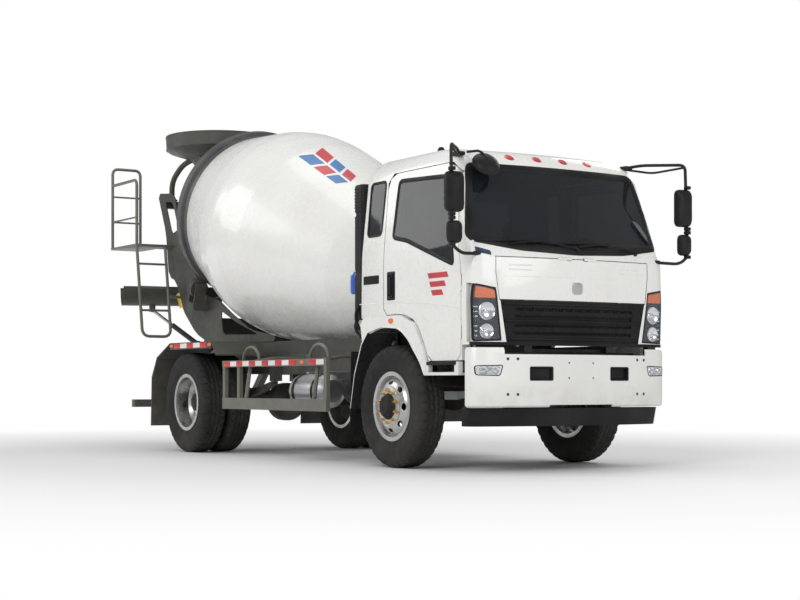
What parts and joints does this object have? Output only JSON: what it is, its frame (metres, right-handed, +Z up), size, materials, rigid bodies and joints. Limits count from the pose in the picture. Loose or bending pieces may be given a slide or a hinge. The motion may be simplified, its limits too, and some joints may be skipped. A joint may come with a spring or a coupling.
{
  "type": "concrete mixer truck",
  "caption": "Forward-control lorry with a tilting cab, twin rear wheels and a slanted rotating concrete drum with hopper, funnel, chute and ladder.",
  "frame": {"origin": "on the ground, at the middle of the whole truck's length and width", "axes": "+X to the truck's front, +Y to its left side, +Z up"},
  "size_m": [7.166, 2.36, 3.34],
  "materials": {
    "cab_white": "gloss paint",
    "drum_white": "gloss paint, dusty",
    "frame_grey": "satin paint",
    "guard_grey": "satin paint",
    "black_plastic": "moulded",
    "tyre_rubber": "moulded",
    "rim_silver": "silver paint",
    "tinted_glass": "tinted",
    "lamp_glass": "clear",
    "seat_fabric": "woven",
    "cast_iron": "cast",
    "tank_aluminium": "brushed",
    "rod_chrome": "polished"
  },
  "bodies": {
    "chassis": {"chassis_frame": "frame_grey", "front_axle": "frame_grey", "rear_axle": "frame_grey", "engine_block": "cast_iron", "gearbox_propshaft": "cast_iron", "front_bumper": "cab_white", "mixer_subframe": "frame_grey", "drum_drive": "cast_iron", "rear_pedestal": "frame_grey", "side_guard_left": "guard_grey", "side_guard_right": "guard_grey", "rear_mudguard_left": "frame_grey", "rear_mudguard_right": "frame_grey", "underrun_bar": "frame_grey", "air_tank": "tank_aluminium", "fuel_tank": "tank_aluminium", "exhaust_silencer": "black_plastic", "air_intake": "black_plastic", "ladder_platform": "frame_grey", "feed_hopper": "frame_grey", "collector_funnel": "frame_grey"},
    "cab": {"cab_shell": "cab_white", "windscreen": "tinted_glass", "dashboard": "black_plastic", "driver_seat": "seat_fabric", "passenger_seat": "seat_fabric", "headlight_left": "lamp_glass", "headlight_right": "lamp_glass", "mirrors_left": "black_plastic", "mirrors_right": "black_plastic", "wheel_arch_left": "cab_white", "wheel_arch_right": "cab_white"},
    "right_door": {"door_right": "cab_white", "door_glass_right": "tinted_glass"},
    "left_door": {"door_left": "cab_white", "door_glass_left": "tinted_glass"},
    "front_panel": {"front_flap": "cab_white", "front_grille": "black_plastic"},
    "hand_wheel": {"steering_wheel": "black_plastic"},
    "right_knuckle": {"knuckle_right": "cast_iron"},
    "left_knuckle": {"knuckle_left": "cast_iron"},
    "right_front_wheel": {"front_rim_right": "rim_silver", "front_tyre_right": "tyre_rubber"},
    "left_front_wheel": {"front_rim_left": "rim_silver", "front_tyre_left": "tyre_rubber"},
    "right_rear_wheels": {"rear_rims_right": "rim_silver", "rear_tyre_outer_right": "tyre_rubber", "rear_tyre_inner_right": "tyre_rubber"},
    "left_rear_wheels": {"rear_rims_left": "rim_silver", "rear_tyre_outer_left": "tyre_rubber", "rear_tyre_inner_left": "tyre_rubber"},
    "drum": {"drum_shell": "drum_white"},
    "right_roller": {"support_roller_right": "cast_iron"},
    "left_roller": {"support_roller_left": "cast_iron"},
    "turret": {"chute_turret": "frame_grey"},
    "chute": {"discharge_chute": "frame_grey"},
    "jack_tube": {"jack_barrel": "frame_grey"},
    "jack_ram": {"jack_rod": "rod_chrome"}
  },
  "joints": [
    {"name": "cab_tilt", "type": "hinge", "parent": "chassis", "child": "cab", "pos_m": [3.397, 0, 0.97], "axis": [0, 1, 0], "range_deg": [0, 45]},
    {"name": "door_right_hinge", "type": "hinge", "parent": "cab", "child": "right_door", "pos_m": [3.3145, -0.945, 1.2], "axis": [0, 0, 1], "range_deg": [0, 65]},
    {"name": "door_left_hinge", "type": "hinge", "parent": "cab", "child": "left_door", "pos_m": [3.3145, 0.945, 1.2], "axis": [0, 0, -1], "range_deg": [0, 65]},
    {"name": "front_flap_hinge", "type": "hinge", "parent": "cab", "child": "front_panel", "pos_m": [3.513, 0, 1.6135], "axis": [0, -1, 0], "range_deg": [0, 75]},
    {"name": "steering_right", "type": "hinge", "parent": "chassis", "child": "right_knuckle", "pos_m": [2.387, -0.72, 0.485], "axis": [0, 0, 1], "range_deg": [-32, 32]},
    {"name": "steering_left", "type": "hinge", "parent": "chassis", "child": "left_knuckle", "pos_m": [2.387, 0.72, 0.485], "axis": [0, 0, 1], "range_deg": [-32, 32]},
    {"name": "hand_wheel_spin", "type": "hinge", "parent": "cab", "child": "hand_wheel", "pos_m": [2.767, 0.52, 1.72], "axis": [-0.5, 0, 0.866], "range_deg": [-512, 512]},
    {"name": "front_wheel_right_spin", "type": "hinge", "parent": "right_knuckle", "child": "right_front_wheel", "pos_m": [2.387, -0.875, 0.485], "axis": [0, 1, 0], "continuous": true},
    {"name": "rear_wheels_right_spin", "type": "hinge", "parent": "chassis", "child": "right_rear_wheels", "pos_m": [-1.213, -1.0025, 0.485], "axis": [0, 1, 0], "continuous": true},
    {"name": "front_wheel_left_spin", "type": "hinge", "parent": "left_knuckle", "child": "left_front_wheel", "pos_m": [2.387, 0.875, 0.485], "axis": [0, 1, 0], "continuous": true},
    {"name": "rear_wheels_left_spin", "type": "hinge", "parent": "chassis", "child": "left_rear_wheels", "pos_m": [-1.213, 1.0025, 0.485], "axis": [0, 1, 0], "continuous": true},
    {"name": "drum_spin", "type": "hinge", "parent": "chassis", "child": "drum", "pos_m": [1.387, 0, 1.485], "axis": [-0.9609, 0, 0.2768], "continuous": true},
    {"name": "roller_right_spin", "type": "hinge", "parent": "chassis", "child": "right_roller", "pos_m": [-2.1114, -0.56067, 1.6595], "axis": [-0.9609, 0, 0.2768], "continuous": true},
    {"name": "roller_left_spin", "type": "hinge", "parent": "chassis", "child": "left_roller", "pos_m": [-2.1114, 0.56067, 1.6595], "axis": [-0.9609, 0, 0.2768], "continuous": true},
    {"name": "chute_swing", "type": "hinge", "parent": "chassis", "child": "turret", "pos_m": [-3.033, 0, 1.2], "axis": [0, 0, -1], "range_deg": [0, 145]},
    {"name": "chute_tilt", "type": "hinge", "parent": "turret", "child": "chute", "pos_m": [-3.033, 0, 1.62], "axis": [0.9537, -0.3007, 0], "range_deg": [0, 25]},
    {"name": "jack_tube_pivot", "type": "hinge", "parent": "turret", "child": "jack_tube", "pos_m": [-3.07209, -0.12398, 1.11], "axis": [0.9537, -0.3007, 0], "range_deg": [0, 19.3]},
    {"name": "jack_slide", "type": "slide", "parent": "jack_tube", "child": "jack_ram", "axis": [-0.2412, -0.7648, 0.5974], "range_m": [-0.2235, 0]}
  ],
  "couplings": [
    {"joint": "steering_left", "follows": "steering_right", "ratio": 1},
    {"joint": "hand_wheel_spin", "follows": "steering_right", "ratio": 16},
    {"joint": "roller_right_spin", "follows": "drum_spin", "ratio": -8.75},
    {"joint": "roller_left_spin", "follows": "drum_spin", "ratio": -8.75},
    {"joint": "jack_tube_pivot", "follows": "chute_tilt", "ratio": 0.768},
    {"joint": "jack_slide", "follows": "chute_tilt", "m_per_rad": -0.51}
  ]
}
